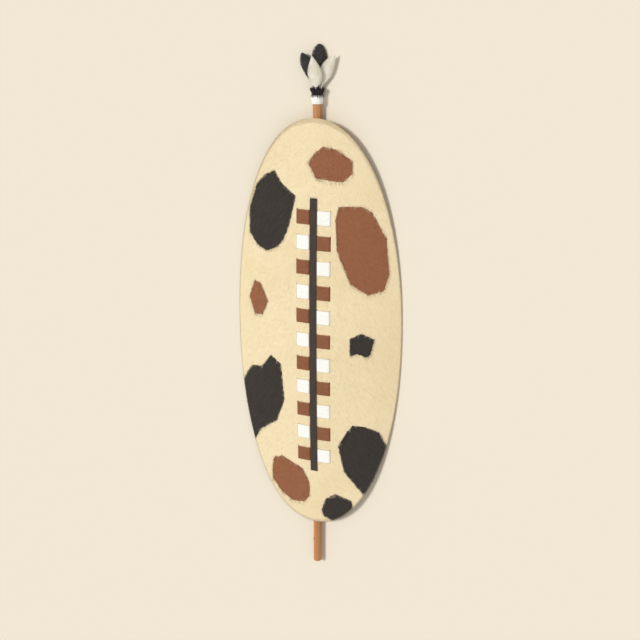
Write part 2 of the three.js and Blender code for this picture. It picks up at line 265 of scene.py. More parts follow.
# %% Geometry trees: making one, and freezing what it grows
def geometry_tree(name, sizes):
    tree = bpy.data.node_groups.new(name, "GeometryNodeTree")
    tree.interface.new_socket("Geometry", in_out="INPUT", socket_type="NodeSocketGeometry")
    for size, default in sizes.items():
        socket = tree.interface.new_socket(size, in_out="INPUT", socket_type="NodeSocketFloat")
        socket.default_value = default
    tree.interface.new_socket("Geometry", in_out="OUTPUT", socket_type="NodeSocketGeometry")
    graph = Graph(tree)
    entry = tree.nodes.new("NodeGroupInput")
    given = {socket.name: Value(graph, socket) for socket in entry.outputs if socket.name}
    return tree, graph, given


def close_tree(graph, geometry, material):
    """The end of every tree: instances made real, shaded smooth, and given their material."""
    real = graph.node("GeometryNodeRealizeInstances", None, {0: geometry})
    smooth = graph.node("GeometryNodeSetShadeSmooth", None, {0: real})
    dressed = graph.node("GeometryNodeSetMaterial", None, {0: smooth, "Material": material})
    leave = graph.tree.nodes.new("NodeGroupOutput")
    graph.tree.links.new(dressed.socket, leave.inputs[0])


def grown(source, tree, **sizes):
    """Runs a tree on an object, and gives back a new plain object of the same name."""
    modifier = source.modifiers.new("grow", "NODES")
    modifier.node_group = tree
    sockets = {i.name: i.identifier for i in tree.interface.items_tree if i.in_out == "INPUT"}
    for name, value in sizes.items():
        modifier[sockets[name.replace("_", " ")]] = float(value)
    evaluated = source.evaluated_get(bpy.context.evaluated_depsgraph_get())
    mesh = bpy.data.meshes.new_from_object(evaluated)
    name = source.name
    bpy.data.objects.remove(source)
    return new_piece(name, mesh)


def new_piece(name, mesh):
    mesh.name = name
    piece = bpy.data.objects.new(name, mesh)
    bpy.context.scene.collection.objects.link(piece)
    return piece


def dress(piece, slot, *nodes):
    """Rides on the shield and stands for the frame's nodes; slot is not used."""
    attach(piece, "root")
    if nodes:
        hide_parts(*nodes)
    triangles = sum(len(face.vertices) - 2 for face in piece.data.polygons)
    print(f"{piece.name}: {triangles} triangles")
    return piece


# %% [markdown]
# ## The pattern of the coat
#
# The coat is cream with black and brown patches. Each patch is a handful of corners, in millimetres from
# the middle of the hide. The mesh stores how far each of its points is from the nearest black patch and
# the nearest brown one, less than nothing inside. The material turns those distances into colour and can
# roughen the border hair by hair, which a painted edge could not.

# %% Patches of the coat
BLACK_PATCHES = {
    "left shoulder": [
        (-119, 451), (-96, 416), (-53, 385), (-72, 305), (-90, 258), (-112, 234), (-145, 219),
        (-176, 233), (-202, 264), (-202, 336), (-178, 405), (-154, 432),
    ],
    "right flank": [(139, 10), (174, -7), (164, -55), (151, -62), (127, -53), (106, -60), (106, -8)],
    "left belly": [
        (-135, -90), (-102, -111), (-92, -219), (-118, -290), (-152, -315), (-176, -335), (-199, -372),
        (-243, -317), (-252, -244), (-238, -190), (-202, -136), (-165, -130),
    ],
    "right belly": [
        (114, -272), (150, -274), (189, -288), (216, -341), (216, -412), (190, -465), (184, -491),
        (143, -489), (89, -421), (72, -342), (100, -293),
    ],
    "foot": [
        (65, -499), (111, -517), (118, -546), (105, -573), (60, -592), (27, -578), (20, -562),
        (33, -518),
    ],
}
BROWN_PATCHES = {
    "head": [
        (27, 527), (65, 520), (106, 491), (107, 457), (83, 433), (42, 435), (4, 440), (-8, 464),
        (-17, 483), (3, 509),
    ],
    "right shoulder": [
        (71, 366), (138, 369), (162, 354), (200, 284), (210, 180), (197, 135), (155, 121), (106, 150),
        (67, 242), (62, 330),
    ],
    "left flank": [(-187, 127), (-166, 122), (-141, 72), (-162, 27), (-190, 27), (-207, 75)],
    "left foot": [
        (-131, -415), (-103, -403), (-36, -431), (-15, -473), (-16, -520), (-37, -543), (-72, -545),
        (-103, -527), (-137, -489), (-139, -451),
    ],
}


def distance_to_outline(points, corners):
    """How far each point is from a closed outline: more than 0 outside it, less than 0 inside."""
    nearest = np.full(len(points), np.inf)
    inside = np.zeros(len(points), bool)
    for start, end in zip(corners, corners[1:] + corners[:1]):
        a = np.array(start, float)
        b = np.array(end, float)
        along = np.clip((points - a) @ (b - a) / ((b - a) @ (b - a)), 0, 1)
        nearest = np.minimum(nearest, np.linalg.norm(points - a - along[:, None] * (b - a), axis=1))
        crosses = (a[1] > points[:, 1]) != (b[1] > points[:, 1])
        if a[1] != b[1]:
            at = a[0] + (points[:, 1] - a[1]) / (b[1] - a[1]) * (b[0] - a[0])
            inside ^= crosses & (points[:, 0] < at)
    return np.where(inside, -nearest, nearest)


def distance_to_patches(points, patches):
    """The same for a set of patches, in millimetres, for points in metres in the shield's frame."""
    local = (points[:, :2] - (0, HIDE_Y)) / MM
    return np.min([distance_to_outline(local, corners) for corners in patches.values()], axis=0)


print(len(BLACK_PATCHES), "black patches and", len(BROWN_PATCHES), "brown ones")

# %% [markdown]
# ## The hide as a mesh
#
# The hide is a shell: a face and a back of the same outline, joined by a rounded rim. Rings of points are
# set out from the middle to the rim, so the outline is exact and the points are closest where it curves
# most. The slits are cut afterwards with a Boolean, because they ignore the rings. A dried hide is never
# true, so the rim is allowed to cockle upwards a little; the middle, where the laces sit, is left as the
# frame has it.

# %% The oval, ring by ring
FACE_RINGS = 84
BACK_RINGS = 30
RIM_STEPS = 6
SPOKES = 480
COCKLE = 2.2 * MM  # how far the dried rim lifts
COCKLE_START = 0.62  # share of the way to the rim where the lifting starts


def oval_points(share, angles):
    """Points on the hide's outline, scaled about its middle by share."""
    across = np.sign(np.cos(angles)) * np.abs(np.cos(angles)) ** (2 / OVAL_POWER)
    along = np.sign(np.sin(angles)) * np.abs(np.sin(angles)) ** (2 / OVAL_POWER)
    return share * HALF_WIDTH * across, HIDE_Y + share * HALF_LENGTH * along


def cockle(share, angles):
    """The lift of the rim: nothing at the sides that lie on the ground, and slow waves elsewhere."""
    reach = np.clip((share - COCKLE_START) / (1 - COCKLE_START), 0, 1) ** 2
    free = np.abs(np.sin(angles)) ** 0.7
    waves = 0.5 + 0.28 * np.sin(5 * angles + 0.6) + 0.22 * np.sin(9 * angles + 2.1)
    return COCKLE * reach * free * waves


inset = 1 - RIM_ROUND / HALF_WIDTH
levels = [(inset * i / FACE_RINGS, 0.0) for i in range(1, FACE_RINGS + 1)]
for step in range(1, RIM_STEPS):
    turn = math.pi * step / RIM_STEPS
    levels.append((inset + (1 - inset) * math.sin(turn), HIDE_THICKNESS * (1 - math.cos(turn)) / 2))
levels += [(inset * i / BACK_RINGS, HIDE_THICKNESS) for i in range(BACK_RINGS, 0, -1)]

angles = np.linspace(0, 2 * math.pi, SPOKES, endpoint=False)
rings = []
for share, drop in levels:
    x, y = oval_points(share, angles)
    rings.append(np.stack([x, y, face_height(x, y) - drop + cockle(share, angles)], axis=1))
poles = [(0, HIDE_Y, CROWN), (0, HIDE_Y, CROWN - HIDE_THICKNESS)]
hide_points = np.concatenate(rings + [np.array(poles)])
face_pole = len(hide_points) - 2

spoke = np.arange(SPOKES)
beside = (spoke + 1) % SPOKES
hide_faces = []
for ring in range(len(levels) - 1):
    a, b = ring * SPOKES, (ring + 1) * SPOKES
    hide_faces += np.stack([a + spoke, b + spoke, b + beside, a + beside], axis=1).tolist()
last = (len(levels) - 1) * SPOKES
for i, j in zip(spoke.tolist(), beside.tolist()):
    hide_faces += [(face_pole, i, j), (face_pole + 1, last + j, last + i)]
hide_mesh = bpy.data.meshes.new("cowhide")
hide_mesh.from_pydata(hide_points.tolist(), [], hide_faces)
cowhide = new_piece("cowhide", hide_mesh)
print("the oval has", len(hide_faces), "faces")

# %% The slits, all cut at once
INNER_LEG = STRIP_WIDTH / 2 + GAP + LACE_THICKNESS / 2  # where a lace dives beside the strip
OUTER_LEG = TAB_OUTER - LACE_THICKNESS / 2  # and where it dives at the tab's outer edge
LACES = [(side, row) for row in range(1, 12) for side in ("left", "right")]


def lace_box(side, row):
    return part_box(f"lace_{side}_{row:02d}")


def add_box(mesh, centre, size):
    place = Matrix.Translation(centre) @ Matrix.Diagonal((*size, 1.0))
    bmesh.ops.create_cube(mesh, size=1.0, matrix=place)


cutters = bmesh.new()
for side, row in LACES:
    low, high = lace_box(side, row)
    y = (low.y + high.y) / 2
    for x in (INNER_LEG, OUTER_LEG):
        x = -x if side == "left" else x
        middle = (x, y, face_height(x, y) - HIDE_THICKNESS / 2)
        size = (LACE_THICKNESS + 2 * SLIT_PLAY, high.y - low.y + 2 * SLIT_PLAY, 3 * HIDE_THICKNESS)
        add_box(cutters, middle, size)
strip_low, strip_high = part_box("centre_strip")
STRIP_TAIL = 26 * MM  # the length turned under at each end
STRIP_LEGS = [strip_low.y + STRIP_TAIL, strip_high.y - STRIP_TAIL]
for y in STRIP_LEGS:
    size = (STRIP_WIDTH + 2 * SLIT_PLAY, STRIP_THICKNESS + 2 * SLIT_PLAY, 3 * HIDE_THICKNESS)
    add_box(cutters, (0, y, face_height(0, y) - HIDE_THICKNESS / 2), size)
cutter_mesh = bpy.data.meshes.new("slits")
cutters.to_mesh(cutter_mesh)
cutter = new_piece("slits", cutter_mesh)

cut = cowhide.modifiers.new("slits", "BOOLEAN")
cut.operation = "DIFFERENCE"
cut.object = cutter
cut.solver = "EXACT"
slit_mesh = bpy.data.meshes.new_from_object(cowhide.evaluated_get(bpy.context.evaluated_depsgraph_get()))
bpy.data.objects.remove(cowhide)
bpy.data.objects.remove(cutter)
cowhide = new_piece("cowhide", slit_mesh)
print("cut", 2 * len(LACES) + 2, "slits")

# %% What the coat's material needs to know about each point
def points_of(mesh):
    """The places of a mesh's points, one row each."""
    flat = np.zeros(len(mesh.vertices) * 3)
    mesh.vertices.foreach_get("co", flat)
    return flat.reshape(-1, 3)


def store(mesh, name, values):
    attribute = mesh.attributes.new(name, "FLOAT", "POINT")
    attribute.data.foreach_set("value", np.asarray(values, np.float32))


hide_at = points_of(slit_mesh)
across_share = np.abs(hide_at[:, 0] / HALF_WIDTH)
along_share = np.abs((hide_at[:, 1] - HIDE_Y) / HALF_LENGTH)
share_of_oval = (across_share**OVAL_POWER + along_share**OVAL_POWER) ** (1 / OVAL_POWER)
store(slit_mesh, "black_patch", distance_to_patches(hide_at, BLACK_PATCHES))
store(slit_mesh, "brown_patch", distance_to_patches(hide_at, BROWN_PATCHES))
store(slit_mesh, "to_rim", (1 - share_of_oval) * HALF_WIDTH / MM)
for polygon in slit_mesh.polygons:
    is_flat = abs(polygon.normal.z) > 0.5
    near_rim = share_of_oval[polygon.vertices[0]] > 0.97
    polygon.use_smooth = bool(is_flat or near_rim)
print("stored the distances at", len(hide_at), "points")

# %% [markdown]
# ## The coat
#
# A cow's hair lies flat. It runs outwards from the line of the spine and back towards the tail, so light
# catches it in fine slanting streaks. Noise that is stretched along that run gives both the streaks of
# colour and the bump, and the same streaks push the border of a patch in and out. The cut rim and the
# slits show the pale thickness of the hide.

# %% Hair that lies in one direction
SPINE_SOFTNESS = 12 * MM  # how gently the run of the hair turns at the spine
HAIR_RUN = math.radians(38)  # between the run of the hair and the spine, on the flanks
HAIR_WIDTH = 0.9 * MM
HAIR_LENGTH = 9 * MM


def hair_streaks(graph, along, across):
    """Noise drawn out into hairs: about 0.5 all over."""
    fine = graph.noise(graph.vector(along / HAIR_LENGTH, across / HAIR_WIDTH, 0), 1.0, 2.0)
    locks = graph.noise(graph.vector(along / (4 * HAIR_LENGTH), across / (6 * HAIR_WIDTH), 3), 1.0, 2.0)
    return fine, locks


def run_of_hair(graph, x, y):
    """Coordinates along and across the hair, mirrored about the spine."""
    side = (x * x + SPINE_SOFTNESS**2) ** 0.5
    drift = graph.noise(graph.vector(x * 5, y * 5, 0), 1.0, 1.0) * 0.05
    along = side * math.sin(HAIR_RUN) - y * math.cos(HAIR_RUN)
    across = side * math.cos(HAIR_RUN) + y * math.sin(HAIR_RUN) + drift
    return along, across


# %% The material of the face
CREAM = colour(247, 229, 190)
CREAM_SHADE = colour(236, 212, 166)
BROWN = colour(146, 94, 64)
BROWN_LIGHT = colour(156, 100, 69)
BROWN_SHADE = colour(120, 74, 48)
BLACK = colour(62, 56, 51)
BLACK_SHADE = colour(44, 39, 36)
CUT_HIDE = colour(232, 214, 178)
BORDER_BLUR = 0.6  # millimetres on each side of a patch's border

coat, graph, shader, place, (x, y, z) = new_material(
    "pied cowhide", Specular_IOR_Level=0.25, Sheen_Weight=0.12, Sheen_Roughness=0.4
)
along, across = run_of_hair(graph, x, y)
fine, locks = hair_streaks(graph, along, across)
broad = graph.noise(place, 6.0, 2.0)

ragged = (fine - 0.5) * 5.0 + (locks - 0.5) * 7.0 + (broad - 0.5) * 4.0  # millimetres
black_here = (graph.attribute("black_patch") + ragged).ramp(BORDER_BLUR, -BORDER_BLUR)
brown_here = (graph.attribute("brown_patch") + ragged).ramp(BORDER_BLUR, -BORDER_BLUR)
streak = (fine * 0.6 + locks * 0.4).ramp(0.35, 0.65)
cream = graph.mix(streak * 0.45 + broad.ramp(0.4, 0.7) * 0.3, CREAM, CREAM_SHADE)
brown = graph.mix(streak * 0.6, BROWN_LIGHT, BROWN)
black = graph.mix(streak * 0.6, BLACK, BLACK_SHADE)
pied = graph.mix(black_here, graph.mix(brown_here, cream, brown), black)
bare_edge = graph.attribute("to_rim").ramp(1.6, 0.4)
finish_material(
    graph,
    shader,
    graph.mix(bare_edge, pied, CUT_HIDE),
    roughness=0.72 + streak * 0.16,
    height=fine * 0.5 + locks * 0.8,
    depth=0.8 * MM,
)

# %% The material of the flesh side and of every cut
raw, graph, shader, place, (x, y, z) = new_material("flesh side", Specular_IOR_Level=0.35)
mottle = graph.noise(place, 22.0, 4.0, 0.6)
veins = graph.noise(place, 60.0, 3.0, 0.7)
vein_here = ((veins - 0.5) * (veins - 0.5)).ramp(0.0025, 0.0)
base = graph.mix(mottle.ramp(0.35, 0.7), colour(214, 190, 148), colour(190, 158, 112))
finish_material(
    graph,
    shader,
    graph.mix(vein_here * 0.35, base, colour(168, 128, 86)),
    roughness=0.55 + mottle * 0.25,
    height=mottle * 0.6 + veins * 0.4,
    depth=0.6 * MM,
)

# %% The hide, dressed
slit_mesh.materials.clear()
slit_mesh.materials.append(coat)
slit_mesh.materials.append(raw)
for polygon in slit_mesh.polygons:
    faces_up = polygon.normal.z > 0.15
    on_rim = share_of_oval[polygon.vertices[0]] > 0.995
    polygon.material_index = 0 if faces_up or on_rim else 1
dress(cowhide, "cream_hide", "hide")

# %% [markdown]
# ## Laces and centre strip
#
# Every lace is the same thing: a flat strip of hide that follows a bent line. So one geometry tree sweeps
# a flat profile with rounded edges along any line that it is given, rounds the bends, and makes the
# surface a little uneven. The line is worked out for each row, as on the real shield: flat behind the
# hide, up through the outer slit, across the face, down beside the centre strip, and then either round
# the stick or back on itself.

# %% One tree for every flat strip
STRIP_SIZES = {
    "Width": 41 * MM,
    "Thickness": 3 * MM,
    "Bend": 2.6 * MM,
    "Edge": 0.9 * MM,
    "Step": 2 * MM,
    "Middle": 0.0,
    "Lean": 0.0,
    "Level Below": 0.0,
    "Unevenness": 0.3 * MM,
    "Along Y": 0.0,
}


def strip_tree(name, material):
    """A flat strip along a line across the shield, or along it where Along Y is 1."""
    tree, graph, given = geometry_tree(name, STRIP_SIZES)
    line = graph.node("GeometryNodeMeshToCurve", None, {0: given["Geometry"]})
    inputs = {"Curve": line, "Count": 4, "Radius": given["Bend"], "Limit Radius": True}
    bent = graph.node("GeometryNodeFilletCurve", {"mode": "POLY"}, inputs)
    inputs = {"Curve": bent, "Length": given["Step"]}
    even = graph.node("GeometryNodeResampleCurve", {"mode": "LENGTH"}, inputs)
    sideways = graph.vector(given["Along Y"], 1 - given["Along Y"], 0)
    steady = graph.facing_curve(even, sideways)

    soft = graph.flat_profile(given["Width"], given["Thickness"], given["Edge"], 3)
    inputs = {"Curve": soft, "Length": given["Step"]}
    profile = graph.node("GeometryNodeResampleCurve", {"mode": "LENGTH"}, inputs)
    inputs = {"Curve": steady, "Profile Curve": profile, "Fill Caps": True}
    swept = graph.node("GeometryNodeCurveToMesh", None, inputs)

    # The face of the hide slopes along the shield, so a strip that lies across it leans with it.
    at = graph.node("GeometryNodeInputPosition")
    _, across, height = graph.split(at)
    on_hide = (height - given["Level Below"]).ramp(0.0, 6 * MM)
    lean = (across - given["Middle"]) * given["Lean"] * on_hide
    rough = graph.noise(at, 160.0, 2.0) - 0.5
    outward = graph.node("GeometryNodeInputNormal")
    inputs = {0: outward, 3: rough * given["Unevenness"]}
    push = graph.node("ShaderNodeVectorMath", {"operation": "SCALE"}, inputs)
    inputs = {0: push, 1: graph.vector(0, 0, lean)}
    offset = graph.node("ShaderNodeVectorMath", {"operation": "ADD"}, inputs)
    uneven = graph.node("GeometryNodeSetPosition", None, {"Geometry": swept, "Offset": offset})
    close_tree(graph, uneven, material)
    return tree


def line_object(name, points):
    """A mesh of edges only, for a tree to follow."""
    mesh = bpy.data.meshes.new(name)
    mesh.from_pydata(points, [(i, i + 1) for i in range(len(points) - 1)], [])
    return new_piece(name, mesh)


# %% The hair and hide of the laces
def lace_material(name, light, dark, cut_colour, axis):
    """Hair-on hide whose hair lies along x or y, with bare cut edges."""
    material, graph, shader, place, (x, y, z) = new_material(
        name, Specular_IOR_Level=0.25, Sheen_Weight=0.1, Sheen_Roughness=0.4
    )
    along, across = (x, y) if axis == "x" else (y, x)
    fine, locks = hair_streaks(graph, along, across + z)
    streak = (fine * 0.6 + locks * 0.4).ramp(0.35, 0.65)
    haired = graph.mix(streak * 0.5, light, dark)
    shown = graph.mix(graph.attribute("cut_edge"), haired, cut_colour)
    finish_material(graph, shader, shown, 0.7 + streak * 0.18, fine * 0.6 + locks * 0.7, 0.5 * MM)
    return material


brown_lace = lace_material("brown lace", BROWN, BROWN_SHADE, colour(168, 128, 96), "x")
WHITE = colour(255, 255, 250)
WHITE_SHADE = colour(236, 230, 216)
white_lace = lace_material("white lace", WHITE, WHITE_SHADE, colour(226, 214, 190), "x")
STRIP_BLACK = colour(74, 64, 56)
STRIP_SHADE = colour(50, 44, 40)
black_strip = lace_material("black strip", STRIP_BLACK, STRIP_SHADE, colour(92, 80, 68), "y")

# %% The line of one lace
TAB_STEPS = 4
WRAP_STEPS = 14
OUTER_TAIL = 22 * MM
INNER_TAIL = 15 * MM
SEAM = 0.8 * MM  # where the two laces of a row meet under the stick
FREE_ROWS = (5, 6, 7)  # these leave room for the hand


def lace_line(side, row, y):
    """Points across the shield at one y: outer tail, tab, and inner tail or turn round the stick."""
    lift = GAP + LACE_THICKNESS / 2

    def on_face(across):
        return across, face_height(across, y) + lift

    def behind(across):
        return across, face_height(across, y) - HIDE_THICKNESS - lift

    tab = [OUTER_LEG + (INNER_LEG - OUTER_LEG) * i / TAB_STEPS for i in range(TAB_STEPS + 1)]
    line = [behind(OUTER_LEG + OUTER_TAIL), behind(OUTER_LEG), *map(on_face, tab)]
    if row in FREE_ROWS:
        line += [behind(INNER_LEG), behind(INNER_LEG + INNER_TAIL)]
    else:
        back_of_hide = face_height(INNER_LEG, y) - HIDE_THICKNESS
        line.append((INNER_LEG, back_of_hide))
        radius = STICK_RADIUS + GAP + LACE_THICKNESS / 2
        drop = back_of_hide - STICK_Z
        first = math.atan2(drop, INNER_LEG) - math.acos(radius / math.hypot(INNER_LEG, drop))
        last = -math.pi / 2 + SEAM / 2 / radius
        for i in range(WRAP_STEPS + 1):
            turn = first + (last - first) * i / WRAP_STEPS
            line.append((radius * math.cos(turn), STICK_Z + radius * math.sin(turn)))
    sign = -1 if side == "left" else 1
    return [(sign * across, y, height) for across, height in line]


CUT_EDGE = 0.8 * MM


def mark_cut_edges(mesh, axis, low, high):
    """Stores 1 on the two long edges of a strip, where the knife went through the skin."""
    place = points_of(mesh)[:, axis]
    from_edge = np.minimum(place - low, high - place)
    store(mesh, "cut_edge", np.clip(1 - from_edge / CUT_EDGE, 0, 1))


# %% Twenty-two laces
trees = {"brown": strip_tree("brown strip", brown_lace), "white": strip_tree("white strip", white_lace)}
for side, row in LACES:
    low, high = lace_box(side, row)
    y = (low.y + high.y) / 2
    shade = "brown" if (row % 2 == 1) == (side == "left") else "white"
    slope = -2 * END_FALL * (y - HIDE_Y) / HALF_LENGTH**2
    piece = grown(
        line_object(f"lace_{side}_{row:02d}_hide", lace_line(side, row, y)),
        trees[shade],
        Width=high.y - low.y,
        Middle=y,
        Lean=slope,
        Level_Below=STICK_Z + STICK_RADIUS,
    )
    mark_cut_edges(piece.data, 1, low.y, high.y)
    dress(piece, f"{shade}_hide", f"lace_{side}_{row:02d}")

# %% The centre strip
STRIP_LIFT = GAP + STRIP_THICKNESS / 2
STRIP_STEPS = 12


def over_hide(y):
    return 0, y, face_height(0, y) + STRIP_LIFT


def under_hide(y):
    return 0, y, face_height(0, y) - HIDE_THICKNESS - STRIP_LIFT


low_leg, high_leg = STRIP_LEGS
strip_run = [low_leg + (high_leg - low_leg) * i / STRIP_STEPS for i in range(STRIP_STEPS + 1)]
strip_points = [under_hide(y) for y in (low_leg - STRIP_TAIL, low_leg)]
strip_points += [over_hide(y) for y in strip_run]
strip_points += [under_hide(y) for y in (high_leg, high_leg + STRIP_TAIL)]
centre_strip = grown(
    line_object("centre_strip_hide", strip_points),
    strip_tree("black strip", black_strip),
    Width=STRIP_WIDTH,
    Thickness=STRIP_THICKNESS,
    Bend=3.2 * MM,
    Along_Y=1,
)
mark_cut_edges(centre_strip.data, 0, -STRIP_WIDTH / 2, STRIP_WIDTH / 2)
dress(centre_strip, "black_hide", "centre_strip")

# %% [markdown]
# ## The stick
#
# A peeled sapling is nearly round, with long flats where the knife took off the bark and a swelling at
# each knot where a twig was cut away. The stick is turned from rings of points: its radius follows the
# frame's solid, less the flats, plus a little at each knot. Each point stores how far it is from the
# nearest knot, so that the grain can darken and close round it.

# %% Rings of the stick
# The place of each knot along the stick in metres, and its side in radians.
KNOTS = [
    (-0.690, 2.4), (-0.655, 5.3), (0.590, 4.4), (-0.520, 0.2), (-0.300, 4.0),
    (-0.110, 5.6), (0.060, 2.9), (0.270, 0.9), (0.440, 4.4),
]
STICK_SIDES = 64
STICK_STEP = 3 * MM
FLAT_DEPTH = 0.45 * MM
KNOT_RISE = 0.5 * MM
KNOT_REACH = 9 * MM
FOOT_BEVEL = 2 * MM
NECK_RADIUS = 8 * MM


def stick_profile():
    """Pairs of place along the stick and radius, from foot to neck."""
    foot, neck, top = stick_low.y, binding_low.y - GAP, stick_high.y
    profile = [(foot, STICK_RADIUS - FOOT_BEVEL)]
    profile.append((foot + 0.3 * FOOT_BEVEL, STICK_RADIUS - 0.4 * FOOT_BEVEL))
    steps = int((neck - foot - FOOT_BEVEL) / STICK_STEP)
    for i in range(steps + 1):
        profile.append((foot + FOOT_BEVEL + (neck - foot - FOOT_BEVEL) * i / steps, STICK_RADIUS))
    return profile + [(neck + 1 * MM, NECK_RADIUS), (top, NECK_RADIUS)]


def away_from(knot, along, turn):
    """How far a point of the stick's side is from a knot."""
    knot_y, knot_turn = knot
    return np.hypot(along - knot_y, 2 * STICK_RADIUS * np.sin((turn - knot_turn) / 2))


turns = np.linspace(0, 2 * math.pi, STICK_SIDES, endpoint=False)
stick_rings = []
for along, radius in stick_profile():
    flats = np.sin(3 * turns + 40 * along) * np.sin(5 * turns - 23 * along + 1.3)
    shaved = radius - FLAT_DEPTH * (0.5 - 0.5 * flats)
    for knot in KNOTS:
        reach = away_from(knot, along, turns) / (0.5 * KNOT_REACH)
        shaved = shaved + KNOT_RISE * np.exp(-(reach**2))
    is_shaft = radius == STICK_RADIUS
    shaved = np.minimum(shaved, STICK_RADIUS) if is_shaft else np.full(STICK_SIDES, radius)
    place = [shaved * np.cos(turns), np.full(STICK_SIDES, along), STICK_Z + shaved * np.sin(turns)]
    stick_rings.append(np.stack(place, axis=1))


def tube_of_rings(name, made_rings):
    """A closed mesh through rings of points, with a fan at each end."""
    sides = len(made_rings[0])
    points = np.concatenate(made_rings).tolist()
    faces = []
    for ring in range(len(made_rings) - 1):
        for i in range(sides):
            a, b = ring * sides + i, ring * sides + (i + 1) % sides
            faces.append((a, b, b + sides, a + sides))
    first, final = made_rings[0].mean(axis=0), made_rings[-1].mean(axis=0)
    points += [tuple(first), tuple(final)]
    for i in range(sides):
        j = (i + 1) % sides
        end = (len(made_rings) - 1) * sides
        faces.append((len(points) - 2, j, i))
        faces.append((len(points) - 1, end + i, end + j))
    mesh = bpy.data.meshes.new(name)
    mesh.from_pydata(points, [], faces)
    shape = bmesh.new()
    shape.from_mesh(mesh)
    bmesh.ops.recalc_face_normals(shape, faces=shape.faces)
    shape.to_mesh(mesh)
    mesh.shade_smooth()
    return new_piece(name, mesh)


peeled_stick = tube_of_rings("peeled_stick", stick_rings)
stick_at = points_of(peeled_stick.data)
stick_turn = np.arctan2(stick_at[:, 2] - STICK_Z, stick_at[:, 0])
from_knots = np.min([away_from(knot, stick_at[:, 1], stick_turn) for knot in KNOTS], axis=0)
store(peeled_stick.data, "from_knot", from_knots / MM)

# %% Wood
wood, graph, shader, place, (x, y, z) = new_material(
    "peeled wood", Specular_IOR_Level=0.35, Coat_Roughness=0.35, Coat_Weight=0.12
)
knot = graph.attribute("from_knot")
near_knot = knot.ramp(8.0, 1.5)
swirl = near_knot * 0.004
grain_at = graph.vector(x * 330 + swirl * 300, y * 9, z * 330 - swirl * 200)
grain = graph.noise(grain_at, 1.0, 4.0, 0.65)
long_tone = graph.noise(graph.vector(x * 60, y * 3, z * 60), 1.0, 2.0)
wood_tone = graph.mix(grain.ramp(0.3, 0.7), colour(212, 152, 97), colour(178, 121, 74))
wood_tone = graph.mix(long_tone.ramp(0.45, 0.75) * 0.5, wood_tone, colour(156, 102, 60))
ring = graph.node("ShaderNodeMath", {"operation": "SINE"}, {0: knot * 2.6})
knot_tone = graph.mix(ring.ramp(-0.4, 0.8) * 0.5, colour(96, 58, 32), colour(132, 84, 48))
finish_material(
    graph,
    shader,
    graph.mix(near_knot * 0.85, wood_tone, knot_tone),
    roughness=0.48 + grain * 0.22,
    height=grain * 0.7 + long_tone * 0.3,
    depth=0.35 * MM,
)
peeled_stick.data.materials.append(wood)
dress(peeled_stick, "stick_wood", "stick")

# %% [markdown]
# ## The binding
#
# One long narrow white lace is wound round the stick and the quills, each turn tight against the last,
# with its end tucked under. A tree winds it: a helix for the line, and a flat profile with round edges
# swept along it.

# %% A wound lace
white_cord, graph, shader, place, axes = new_material("wound white lace", Specular_IOR_Level=0.3)
crease = graph.noise(place, 700.0, 3.0)
soil = graph.noise(place, 90.0, 2.0)
clean = graph.mix(soil.ramp(0.45, 0.75) * 0.5, WHITE, colour(244, 236, 218))
finish_material(graph, shader, clean, 0.6 + crease * 0.25, crease, 0.25 * MM)

WOUND_TURNS = 5
WOUND_THICKNESS = 1.5 * MM

WOUND_SIZES = {
    "Turns": WOUND_TURNS,
    "Pitch": 5 * MM,
    "Radius": 14 * MM,
    "Width": 4.6 * MM,
    "Thickness": WOUND_THICKNESS,
    "Start": 0.0,
}
wound_tree, graph, given = geometry_tree("wound lace", WOUND_SIZES)
inputs = {
    "Resolution": 56,
    "Rotations": given["Turns"],
    "Start Radius": given["Radius"],
    "End Radius": given["Radius"],
    "Height": given["Turns"] * given["Pitch"],
}
helix = graph.node("GeometryNodeCurveSpiral", None, inputs)
away = graph.node("GeometryNodeInputPosition")
outward = graph.node("ShaderNodeVectorMath", {"operation": "MULTIPLY"}, {0: away, 1: (1, 1, 0)})
thickness = given["Thickness"]
profile = graph.flat_profile(thickness, given["Width"], thickness * 0.45, 4)
inputs = {"Curve": graph.facing_curve(helix, outward), "Profile Curve": profile, "Fill Caps": True}
wound = graph.node("GeometryNodeCurveToMesh", None, inputs)
up_the_stick = graph.vector(0, given["Start"], STICK_Z)
inputs = {"Geometry": wound, "Translation": up_the_stick, "Rotation": (-math.pi / 2, 0, 0)}
laid = graph.node("GeometryNodeTransform", None, inputs)
close_tree(graph, laid, white_cord)

binding_length = binding_high.y - binding_low.y
pitch = binding_length / (WOUND_TURNS + 1)
wound_lace = grown(
    line_object("wound_lace", [(0, 0, 0), (0, 1, 0)]),
    wound_tree,
    Turns=WOUND_TURNS,
    Pitch=pitch,
    Radius=(binding_high.x - binding_low.x) / 2 - WOUND_THICKNESS / 2,
    Width=pitch * 0.97,
    Thickness=WOUND_THICKNESS,
    Start=binding_low.y + pitch / 2,
)
under_rings = []
for share, radius in ((0, 13.6 * MM), (0.04, 14.2 * MM), (0.96, 14.2 * MM), (1, 13.6 * MM)):
    y = binding_low.y + binding_length * share
    ring_points = [(radius * math.cos(t), y, STICK_Z + radius * math.sin(t)) for t in turns]
    under_rings.append(np.array(ring_points))
under = tube_of_rings("under_lace", under_rings)


def joined(name, pieces, material):
    """One object of one material, from several objects."""
    shape = bmesh.new()
    for piece in pieces:
        shape.from_mesh(piece.data)
        bpy.data.objects.remove(piece)
    mesh = bpy.data.meshes.new(name)
    shape.to_mesh(mesh)
    mesh.materials.append(material)
    return new_piece(name, mesh)


binding_lace = joined("binding_lace", [wound_lace, under], white_cord)
dress(binding_lace, "white_binding", "binding")

